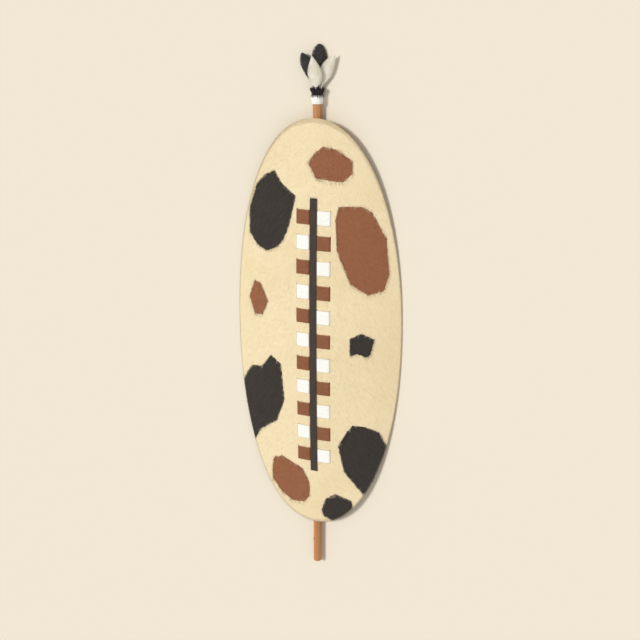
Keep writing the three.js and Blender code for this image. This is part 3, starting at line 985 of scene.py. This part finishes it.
# %% [markdown]
# ## Feathers
#
# A feather is a tapering shaft with a row of barbs on each side. The barbs are what gives a vane its
# outline, its soft parting lines and its ragged tip, so they are real here: one tree sweeps the shaft and
# sets a thin blade at each step along it, on the left and on the right. The line that it follows stores,
# at each point, how long the barbs are and how far they lean towards the tip.

# %% The frame's own feather shapes, repeated
QUILL_RADIUS = 1.6 * MM
QUILL_RING = NECK_RADIUS + GAP + QUILL_RADIUS
VANE_START = 0.22
BINDING_TOP = binding_high.y
TIP_Y = cad_high.y

FEATHERS = {
    "feather_black_tall": {
        "root_turn": -90, "tip": (4, 0, 9), "face": (0.1, 0, 1), "half_width": 22.5, "widest": 0.78,
        "fullness": 1.1, "bluntness": 0.4,
    },
    "feather_black_left": {
        "root_turn": 180, "tip": (-43, -24, 17), "face": (0, 0, 1), "half_width": 19, "widest": 0.78,
        "fullness": 1.0, "bluntness": 0.45,
    },
    "feather_white_right": {
        "root_turn": 0, "tip": (49, -24, 18), "face": (0.3, 0, 1), "half_width": 19, "widest": 0.62,
        "fullness": 0.9, "bluntness": 0.6,
    },
    "feather_white_front": {
        "root_turn": 90, "tip": (-4, -24, 46), "face": (0.1, 0, 1), "half_width": 20.5, "widest": 0.54,
        "fullness": 0.5, "bluntness": 0.95,
    },
}


def half_width_at(u, shape):
    """Half the width of the vane at a share u of the way up the spine, in metres."""
    if u <= VANE_START:
        return 0.0
    if u < shape["widest"]:
        up = math.pi / 2 * (u - VANE_START) / (shape["widest"] - VANE_START)
        return shape["half_width"] * MM * math.sin(up) ** shape["fullness"]
    down = math.pi / 2 * min((u - shape["widest"]) / (1.01 - shape["widest"]), 1)
    return shape["half_width"] * MM * math.cos(down) ** shape["bluntness"]


# %% The spine of one feather
SPINE_STEPS = 300
LENGTH_STEPS = 50
QUILL_DEPTH = 19 * MM  # how far the quill goes down into the binding
LEAN = math.radians(34)  # of the barbs, away from square to the shaft
TIP_LEAN = math.radians(64)  # and of the last ones


def spine_of(shape):
    """The mouth of the binding, the bend and the tip of the spine."""
    turn = math.radians(shape["root_turn"])
    root = Vector((QUILL_RING * math.cos(turn), BINDING_TOP, STICK_Z + QUILL_RING * math.sin(turn)))
    x, drop, z = shape["tip"]
    tip = Vector((x * MM, TIP_Y + drop * MM, z * MM))
    bend = root + Vector((0, (tip.y - root.y) * 0.42, 0))
    return root, bend, tip


def point_on(spine, u):
    root, bend, tip = spine
    return root * (1 - u) ** 2 + bend * 2 * u * (1 - u) + tip * u**2


def lean_at(u):
    late = max(0.0, (u - 0.7) / 0.3)
    return LEAN + (TIP_LEAN - LEAN) * late**1.5


def barb_length(u, shape, spine_length):
    """How long a barb rooted at u has to be to end on the vane's outline."""
    lean = lean_at(u)
    length = half_width_at(u, shape)
    for _ in range(12):
        reach = min(u + length * math.sin(lean) / spine_length, 1.0)
        length = 0.5 * length + 0.5 * half_width_at(reach, shape) / math.cos(lean)
    return min(length, (1.015 - u) * spine_length / math.sin(lean))


# %% One thin blade, for barbs and down
BLADE_STEPS = 3


def blade(graph, width, thickness, sweep, droop):
    """A closed blade along x, one metre long until it is scaled, that narrows and bends to its tip."""
    end = graph.vector(1, sweep, droop)
    inputs = {"Resolution": BLADE_STEPS, "Start": (0, 0, 0), "Middle": (0.5, 0, 0), "End": end}
    line = graph.node("GeometryNodeCurveQuadraticBezier", None, inputs)
    steady = graph.facing_curve(line, (0, 1, 0))
    inputs = {"Width": width, "Height": thickness}
    flat = graph.node("GeometryNodeCurvePrimitiveQuadrilateral", None, inputs)
    share = graph.node("GeometryNodeSplineParameter")
    taper = 1.0 - share**4 * 0.75
    inputs = {"Curve": steady, "Profile Curve": flat, "Scale": taper, "Fill Caps": True}
    return graph.node("GeometryNodeCurveToMesh", None, inputs)


def turned_by(graph, rotation, x, y, z):
    """A rotation with a further turn about its own axes."""
    turn = graph.node("FunctionNodeEulerToRotation", None, {0: graph.vector(x, y, z)})
    inputs = {"Rotation": rotation, "Rotate By": turn}
    return graph.node("FunctionNodeRotateRotation", {"rotation_space": "LOCAL"}, inputs)


def chance(graph, low, high, seed):
    """A random number for each point, the same at every run."""
    inputs = {2: low, 3: high, "Seed": seed}
    return graph.node("FunctionNodeRandomValue", {"data_type": "FLOAT"}, inputs, output=1)


def stored(graph, name, kind="FLOAT"):
    return graph.node("GeometryNodeInputNamedAttribute", {"data_type": kind}, {"Name": name})


# %% The tree that sets barbs along a spine
SHORTEST_BARB = 0.6 * MM
BLADE_THICKNESS = 0.16 * MM


def feather_tree(name, material):
    sizes = {"Blade Width": 1.1 * MM, "Blade Thickness": BLADE_THICKNESS}
    sizes |= {"Sweep": 1.2 * MM, "Droop": -1.0 * MM}
    tree, graph, given = geometry_tree(name, sizes)
    spine = graph.node("GeometryNodeMeshToCurve", None, {0: given["Geometry"]})
    facing = stored(graph, "facing", "FLOAT_VECTOR")
    steady = graph.facing_curve(spine, facing)
    circle = graph.node("GeometryNodeCurvePrimitiveCircle", None, {"Resolution": 10, "Radius": 1.0})
    thickness = stored(graph, "shaft")
    inputs = {"Curve": steady, "Profile Curve": circle, "Scale": thickness, "Fill Caps": True}
    parts = [graph.node("GeometryNodeCurveToMesh", None, inputs)]
    tangent = graph.node("GeometryNodeInputTangent")
    settings = {"primary_axis": "Y", "secondary_axis": "Z"}
    square = graph.node("FunctionNodeAxesToRotation", settings, {0: tangent, 1: facing})
    length = stored(graph, "barb")
    inputs = {0: length, 1: SHORTEST_BARB}
    has_barb = graph.node("FunctionNodeCompare", {"operation": "GREATER_THAN"}, inputs)
    for side, seed in ((1, 3), (-1, 8)):
        blade_size = given["Blade Width"], given["Blade Thickness"]
        one = blade(graph, *blade_size, given["Sweep"] * side, given["Droop"])
        lean = stored(graph, "lean") * side + chance(graph, -0.03, 0.03, seed)
        heading = lean if side == 1 else lean + math.pi
        tilt = chance(graph, -0.10, 0.02, seed + 1)
        roll = chance(graph, -0.15, 0.15, seed + 2)
        turned = turned_by(graph, turned_by(graph, square, 0, 0, heading), roll, tilt * -1, 0)
        uneven = length * chance(graph, 0.93, 1.03, seed + 3)
        inputs = {
            "Points": spine,
            "Selection": has_barb,
            "Instance": one,
            "Rotation": turned,
            "Scale": graph.vector(uneven, 1, 1),
        }
        parts.append(graph.node("GeometryNodeInstanceOnPoints", None, inputs))
    close_tree(graph, graph.node("GeometryNodeJoinGeometry", None, {0: parts}), material)
    return tree


def feather_line(name, shape):
    """The spine as a line that stores the sizes of its shaft and its barbs."""
    spine = spine_of(shape)
    marks = [point_on(spine, i / LENGTH_STEPS) for i in range(LENGTH_STEPS + 1)]
    spine_length = sum((b - a).length for a, b in zip(marks, marks[1:]))
    quill = [spine[0] + Vector((0, -share * QUILL_DEPTH, 0)) for share in (1.0, 0.5)]
    shares = [0, 0] + [i / SPINE_STEPS for i in range(SPINE_STEPS + 1)]
    points = quill + [point_on(spine, i / SPINE_STEPS) for i in range(SPINE_STEPS + 1)]
    line = line_object(name, [tuple(p) for p in points])
    store(line.data, "barb", [barb_length(u, shape, spine_length) if u > 0 else 0 for u in shares])
    store(line.data, "lean", [lean_at(u) for u in shares])
    store(line.data, "shaft", [QUILL_RADIUS * (0.85 - 0.72 * u) for u in shares])
    facing = Vector(shape["face"]).normalized()
    attribute = line.data.attributes.new("facing", "FLOAT_VECTOR", "POINT")
    attribute.data.foreach_set("vector", list(facing) * len(points))
    return line


# %% The finish of the feathers
def feather_material(name, light, dark, sheen):
    material, graph, shader, place, (x, y, z) = new_material(
        name, Specular_IOR_Level=0.35, Sheen_Weight=sheen, Sheen_Roughness=0.3
    )
    fine = graph.noise(graph.vector(x * 900, y * 900, z * 900), 1.0, 2.0)
    broad = graph.noise(place, 45.0, 2.0)
    tone = graph.mix(fine * 0.35 + broad.ramp(0.4, 0.65) * 0.5, light, dark)
    finish_material(graph, shader, tone, 0.45 + fine * 0.3, fine, 0.1 * MM)
    return material


black_feather = feather_material("black feather", colour(58, 52, 52), colour(34, 31, 34), 0.15)
white_feather = feather_material("white feather", colour(252, 246, 230), colour(236, 226, 204), 0.1)

# %% Four feathers
for name, shape in FEATHERS.items():
    shade = "black" if "black" in name else "white"
    material = black_feather if shade == "black" else white_feather
    vane = grown(feather_line(f"{name}_vane", shape), feather_tree(f"{name} barbs", material))
    dress(vane, f"{shade}_feather", name)

# %% [markdown]
# ## The tuft at the foot of the plume
#
# Short black down hides the place where the quills go into the binding. Its barbs start on a small ring
# above the binding and flare out; a few fall back over the binding's edge. The ground presses the lowest
# ones flat.

# %% Down
DOWN_COUNT = 1100
DOWN_SIZES = {
    "Count": DOWN_COUNT,
    "Ring": 14.6 * MM,
    "Inner Ring": 11.5 * MM,
    "Start": 0.0,
    "Ground": 0.5 * MM,
}
tuft_tree, graph, given = geometry_tree("down", DOWN_SIZES)


def down_layer(graph, given, share, seed, start, length, flare):
    """Barbs round the ring: flare is how far they lean out, and length how long they are."""
    cloud = graph.node("GeometryNodePoints", None, {"Count": given["Count"] * share})
    turn = chance(graph, 0, 2 * math.pi, seed)
    sine = turn.math("SINE")
    cosine = turn.math("COSINE")
    out = given["Inner Ring"] + (given["Ring"] - given["Inner Ring"]) * chance(graph, 0, 1, seed + 1)
    along = given["Start"] + chance(graph, *start, seed + 2)
    at = graph.vector(out * cosine, along, out * sine + STICK_Z)
    placed = graph.node("GeometryNodeSetPosition", None, {"Geometry": cloud, "Position": at})
    spread = chance(graph, *flare, seed + 3)
    ahead = 1 if length[0] > 0 else -1
    heading = graph.vector(cosine * spread, ahead, sine * spread)
    outward = graph.vector(cosine, 0, sine)
    settings = {"primary_axis": "X", "secondary_axis": "Z"}
    rotation = graph.node("FunctionNodeAxesToRotation", settings, {0: heading, 1: outward})
    reach = chance(graph, abs(length[0]), abs(length[1]), seed + 4)
    one = blade(graph, 0.9 * MM, BLADE_THICKNESS, 1.5 * MM, 1.5 * MM)
    inputs = {
        "Points": placed,
        "Instance": one,
        "Rotation": turned_by(graph, rotation, chance(graph, -0.6, 0.6, seed + 5), 0, 0),
        "Scale": graph.vector(reach, 1, 1),
    }
    return graph.node("GeometryNodeInstanceOnPoints", None, inputs)


layers = [
    down_layer(graph, given, 0.55, 20, (0.2 * MM, 3 * MM), (13 * MM, 19 * MM), (0.12, 0.36)),
    down_layer(graph, given, 0.3, 30, (1 * MM, 6 * MM), (9 * MM, 15 * MM), (0.3, 0.55)),
    down_layer(graph, given, 0.15, 40, (1 * MM, 4 * MM), (-5 * MM, -11 * MM), (0.22, 0.4)),
]
together = graph.node("GeometryNodeJoinGeometry", None, {0: layers})
fluff = graph.node("GeometryNodeRealizeInstances", None, {0: together})
x, y, z = graph.split(graph.node("GeometryNodeInputPosition"))
pressed = graph.vector(x, y, z.math("MAXIMUM", given["Ground"] + z * 0.02))
inputs = {"Geometry": fluff, "Position": pressed}
close_tree(graph, graph.node("GeometryNodeSetPosition", None, inputs), black_feather)
tuft = grown(line_object("plume_down", [(0, 0, 0), (0, 1, 0)]), tuft_tree, Start=BINDING_TOP)
dress(tuft, "black_feather", "plume_tuft")

# %% [markdown]
# ## Single hairs
#
# From close by, a coat is not a painted surface: single hairs stand a little proud, cross the border of a
# patch and hang over the cut rim. A tree scatters short spikes on the face, more of them near the rim and
# near the borders, and lays each along the run of the coat. Each colour of hair is a piece of its own
# with a plain finish, because the streaked skin beneath already carries the variation.

# %% The tree that lays hairs on the coat
HAIRS_PER_M2 = 55000
BORDER_HAIRS_PER_M2 = 420000
RIM_HAIRS_PER_M2 = 700000
BORDER_BAND = (2.6, 1.2)  # millimetres from a border: where extra hairs begin, and where they are thickest
RIM_BAND = (3.2, 1.2)  # and the same from the rim


def hair_tree(name, material, chosen, seed):
    """Hairs where chosen, a mask made from the distances to the black and brown patches, is 1."""
    sizes = {"Length": 7.5 * MM, "Root": 0.22 * MM, "Lift": 0.13, "Run": HAIR_RUN}
    tree, graph, given = geometry_tree(name, sizes)
    black = stored(graph, "black_patch")
    brown = stored(graph, "brown_patch")
    to_border = black.math("ABSOLUTE").math("MINIMUM", brown.math("ABSOLUTE"))
    to_rim = stored(graph, "to_rim")
    normal = graph.node("GeometryNodeInputNormal")
    up = graph.split(normal)[2]
    near_border = to_border.ramp(*BORDER_BAND)
    near_rim = to_rim.ramp(*RIM_BAND)
    density = near_border * BORDER_HAIRS_PER_M2 + near_rim * RIM_HAIRS_PER_M2 + HAIRS_PER_M2
    shown = chosen(black, brown) * up.ramp(0.0, 0.1)
    inputs = {"Mesh": given["Geometry"], "Density": density * shown, "Seed": seed}
    roots = graph.node("GeometryNodeDistributePointsOnFaces", {"distribute_method": "RANDOM"}, inputs)
    out_of_face = Value(graph, roots.socket.node.outputs["Normal"])

    x = graph.split(graph.node("GeometryNodeInputPosition"))[0]
    side = x / (x * x + SPINE_SOFTNESS**2) ** 0.5
    run = graph.vector(side * given["Run"].math("SINE"), given["Run"].math("COSINE") * -1, 0)
    settings = {"primary_axis": "Z", "secondary_axis": "X"}
    laid = graph.node("FunctionNodeAxesToRotation", settings, {0: out_of_face, 1: run})
    stray = chance(graph, -0.3, 0.3, seed + 1)
    lift = given["Lift"] * chance(graph, -1.6, -0.3, seed + 2)
    turned = turned_by(graph, turned_by(graph, laid, 0, 0, stray), 0, lift, 0)

    inputs = {"Vertices": 3, "Radius Bottom": given["Root"], "Radius Top": 0.0, "Depth": 1.0}
    cone = graph.node("GeometryNodeMeshCone", None, inputs)
    spike = graph.node("GeometryNodeTransform", None, {"Geometry": cone, "Rotation": (0, math.pi / 2, 0)})
    length = given["Length"] * chance(graph, 0.6, 1.15, seed + 3)
    inputs = {"Points": roots, "Instance": spike, "Rotation": turned, "Scale": graph.vector(length, 1, 1)}
    close_tree(graph, graph.node("GeometryNodeInstanceOnPoints", None, inputs), material)
    return tree


print("hair tree ready")

# %% Hairs of each colour
def in_cream(black, brown):
    return black.ramp(-0.3, 0.3) * brown.ramp(-0.3, 0.3)


def in_brown(_, brown):
    return brown.ramp(0.3, -0.3)


def in_black(black, _):
    return black.ramp(0.3, -0.3)


HAIRS = {
    "cream": (in_cream, colour(250, 234, 200), 50),
    "brown": (in_brown, colour(156, 102, 72), 60),
    "black": (in_black, colour(70, 63, 58), 70),
}
for shade, (chosen, tone, seed) in HAIRS.items():
    plain = {"Base_Color": tone, "Roughness": 0.55, "Specular_IOR_Level": 0.4}
    hair_finish = new_material(f"{shade} hair", **plain)[0]
    skin = new_piece(f"{shade}_hairs", cowhide.data.copy())
    dress(grown(skin, hair_tree(f"{shade} hairs", hair_finish, chosen, seed)), "cream_hide")

# %% [markdown]
# ## Camera, floor and light
#
# The shield lies on a pale studio floor. The camera looks down on it from a little to its right and a
# little towards the plume, from far enough away that the far end isn't dwarfed. One broad sun from the
# upper left gives soft shadows to the lower right, and a pale sky and a weak light from the right fill
# them.

# %% Camera
CAMERA_YAW = math.radians(20.78)
CAMERA_PITCH = math.radians(19.21)
CAMERA_DISTANCE = 3.531
LENS_WIDTHS = 1.9595  # the focal length, in widths of the rendered frame
SENSOR_WIDTH = 36
target = Vector((0.0095, HIDE_Y + 0.0289, 0.0202))
back = Vector((
    math.sin(CAMERA_YAW) * math.cos(CAMERA_PITCH),
    math.sin(CAMERA_PITCH),
    math.cos(CAMERA_YAW) * math.cos(CAMERA_PITCH),
))
right = Vector((math.cos(CAMERA_YAW), 0, -math.sin(CAMERA_YAW)))
up = back.cross(right)
camera = bpy.data.objects.new("camera", bpy.data.cameras.new("camera"))
bpy.context.scene.collection.objects.link(camera)
turn = Matrix((right, up, back)).transposed().to_4x4()
camera.matrix_world = Matrix.Translation(target + back * CAMERA_DISTANCE) @ turn
camera.data.sensor_width = SENSOR_WIDTH
camera.data.lens = SENSOR_WIDTH * LENS_WIDTHS
bpy.context.scene.camera = camera
print("camera at", [round(v, 3) for v in camera.location])

# %% Floor
FLOOR_HALF = 30
corners = [(-1, -1), (1, -1), (1, 1), (-1, 1)]
floor_mesh = bpy.data.meshes.new("floor")
floor_mesh.from_pydata([(FLOOR_HALF * x, FLOOR_HALF * y, 0) for x, y in corners], [], [(0, 1, 2, 3)])
floor = new_piece("floor", floor_mesh)
paint, graph, shader, place, axes = new_material("floor paint", Roughness=0.9, Specular_IOR_Level=0.1)
shader.inputs["Base Color"].default_value = colour(238, 228, 210)
floor_mesh.materials.append(paint)
print("floor", 2 * FLOOR_HALF, "m wide")

# %% Light
SKY_STRENGTH = 0.43
SUN_STRENGTH = 2.0
FILL_STRENGTH = 0.25
world = bpy.data.worlds.new("studio")
bpy.context.scene.world = world
world.use_nodes = True
sky = world.node_tree.nodes["Background"]
sky.inputs["Color"].default_value = colour(255, 255, 254)
sky.inputs["Strength"].default_value = SKY_STRENGTH


def add_sun(name, towards, strength, spread, tint):
    """A distant light that shines from towards; spread is its width in degrees, which softens shadows."""
    light = bpy.data.lights.new(name, "SUN")
    light.energy = strength
    light.angle = math.radians(spread)
    light.color = tint[:3]
    lamp = bpy.data.objects.new(name, light)
    lamp.rotation_euler = Vector(towards).to_track_quat("Z", "Y").to_euler()
    bpy.context.scene.collection.objects.link(lamp)


add_sun("key", (-0.48, 0.34, 1.0), SUN_STRENGTH, 12, colour(255, 255, 253))
add_sun("fill", (0.9, -0.3, 1.0), FILL_STRENGTH, 60, colour(255, 255, 255))
bpy.context.scene.view_settings.view_transform = "Standard"
print("two suns and a sky")
